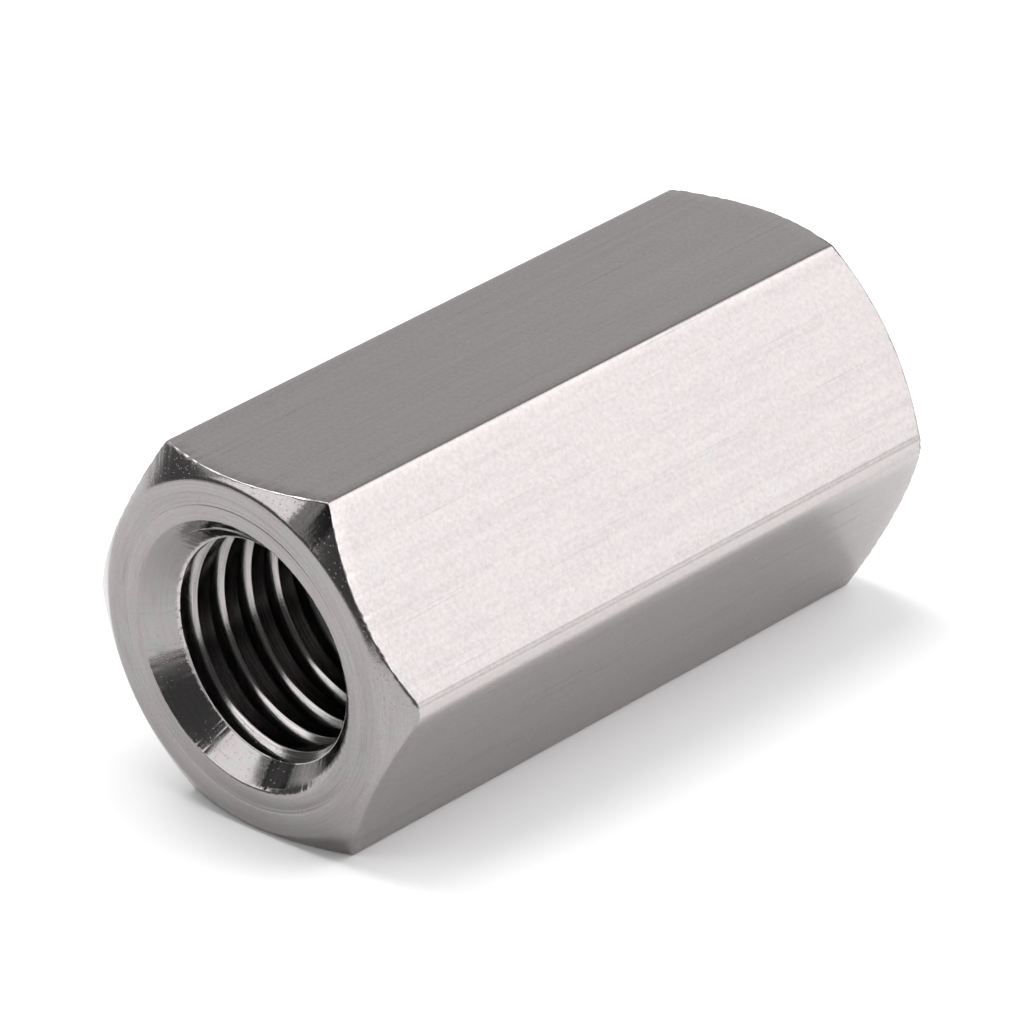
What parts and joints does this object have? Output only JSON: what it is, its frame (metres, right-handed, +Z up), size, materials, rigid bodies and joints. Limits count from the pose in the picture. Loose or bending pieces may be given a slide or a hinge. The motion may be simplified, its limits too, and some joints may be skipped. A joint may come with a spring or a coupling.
{
  "type": "coupling nut",
  "caption": "Long hexagon nut, threaded right through, with chamfered corners and a countersunk mouth at each end.",
  "frame": {"origin": "middle of the nut, on the thread's axis", "axes": "+Y along the thread, from the mouth in the picture to the other; +Z up, out of the top flat of the nut as it lies on one flat; a corner points along +X"},
  "size_m": [0.0206, 0.036, 0.018],
  "materials": {
    "steel": "bright drawn flats, turned ends, cut thread"
  },
  "bodies": {
    "root": {"coupling_nut": "steel"}
  },
  "joints": []
}
